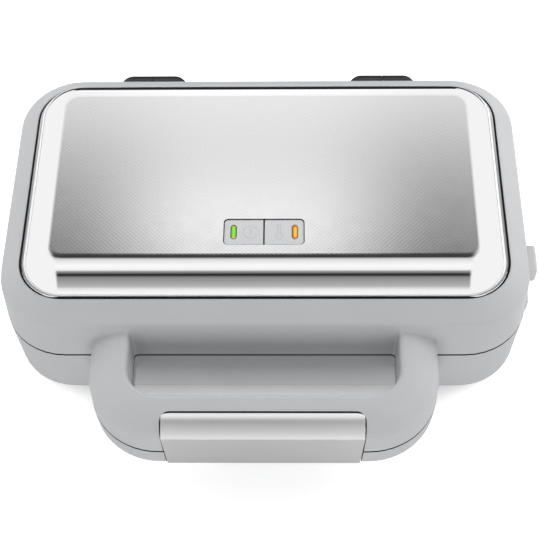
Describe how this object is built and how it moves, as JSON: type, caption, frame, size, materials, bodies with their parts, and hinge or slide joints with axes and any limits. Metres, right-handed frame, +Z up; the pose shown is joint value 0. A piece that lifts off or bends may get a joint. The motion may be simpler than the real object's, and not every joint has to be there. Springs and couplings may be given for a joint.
{
  "type": "belgian waffle maker",
  "caption": "Countertop waffle maker with hinged lid, domed steel cover, D-shaped split handle with latch, and two deep grid plates with push-button release.",
  "frame": {"origin": "centre of the whole appliance's footprint, on the surface that it stands on", "axes": "+Z up, the handle and latch face -Y, the hinges and cord inlet are on the +Y side, the plate release buttons on the +X side"},
  "size_m": [0.2896, 0.253, 0.0909],
  "materials": {
    "grey_housing": "satin light grey moulding",
    "cover_steel": "embossed linen pattern, polished rolled edge",
    "latch_satin": "fine satin",
    "panel_tile": "smooth light grey",
    "green_lens": "clear green",
    "amber_lens": "clear amber",
    "lamp": "clear",
    "circuit_board": "coated board",
    "reflector_sheet": "bright sheet",
    "steel_hardware": "zinc plated",
    "element_sheath": "oxidised sheath",
    "plate_coating": "smooth non-stick coating",
    "hinge_plastic": "dark grey moulding",
    "ceramic": "fired ceramic and phenolic",
    "foot_rubber": "soft rubber",
    "button_grey": "smooth grey"
  },
  "bodies": {
    "base": {"base_housing": "grey_housing", "base_handle_cover": "grey_housing", "lower_reflector": "reflector_sheet", "lower_reflector_screws": "steel_hardware", "lower_heating_element": "element_sheath", "lower_element_clips": "steel_hardware", "lower_cooking_plate": "plate_coating", "lower_plate_brackets": "steel_hardware", "base_hinge_bracket_left": "hinge_plastic", "base_hinge_bracket_right": "hinge_plastic", "base_hinge_screws": "steel_hardware", "hinge_pin_left": "steel_hardware", "hinge_pin_right": "steel_hardware", "cord_inlet": "hinge_plastic", "terminal_block": "ceramic", "thermostat": "ceramic", "foot_front_left": "foot_rubber", "foot_front_right": "foot_rubber", "foot_rear_left": "foot_rubber", "foot_rear_right": "foot_rubber", "lower_release_spring": "steel_hardware"},
    "lid": {"lid_housing": "grey_housing", "lid_handle_cover": "grey_housing", "steel_cover": "cover_steel", "power_tile": "panel_tile", "ready_tile": "panel_tile", "power_lens": "green_lens", "ready_lens": "amber_lens", "lamp_board": "circuit_board", "indicator_lamps": "lamp", "upper_reflector": "reflector_sheet", "upper_reflector_screws": "steel_hardware", "upper_heating_element": "element_sheath", "upper_element_clips": "steel_hardware", "upper_cooking_plate": "plate_coating", "upper_plate_brackets": "steel_hardware", "lid_hinge_bracket_left": "hinge_plastic", "lid_hinge_bracket_right": "hinge_plastic", "lid_hinge_screws": "steel_hardware", "thermal_fuse": "ceramic", "upper_release_spring": "steel_hardware", "latch_pin": "steel_hardware", "latch_spring": "steel_hardware"},
    "latch": {"handle_latch": "latch_satin"},
    "lower_button": {"lower_release_button": "button_grey"},
    "upper_button": {"upper_release_button": "button_grey"}
  },
  "joints": [
    {"name": "lid_hinge", "type": "hinge", "parent": "base", "child": "lid", "pos_m": [0, 0.11465, 0.0455], "axis": [-1, 0, 0], "range_deg": [0, 100]},
    {"name": "latch_hinge", "type": "hinge", "parent": "lid", "child": "latch", "pos_m": [0, -0.11995, 0.0611], "axis": [-1, 0, 0], "range_deg": [0, 14], "stiffness_Nm_per_rad": 0.05, "springref_deg": -11.46, "deforming": ["latch_spring"]},
    {"name": "lower_release", "type": "slide", "parent": "base", "child": "lower_button", "axis": [-1, 0, 0], "range_m": [0, 0.0028], "stiffness_N_per_m": 800, "springref_m": -0.002, "deforming": ["lower_release_spring"]},
    {"name": "upper_release", "type": "slide", "parent": "lid", "child": "upper_button", "axis": [-1, 0, 0], "range_m": [0, 0.0028], "stiffness_N_per_m": 800, "springref_m": -0.002, "deforming": ["upper_release_spring"]}
  ]
}
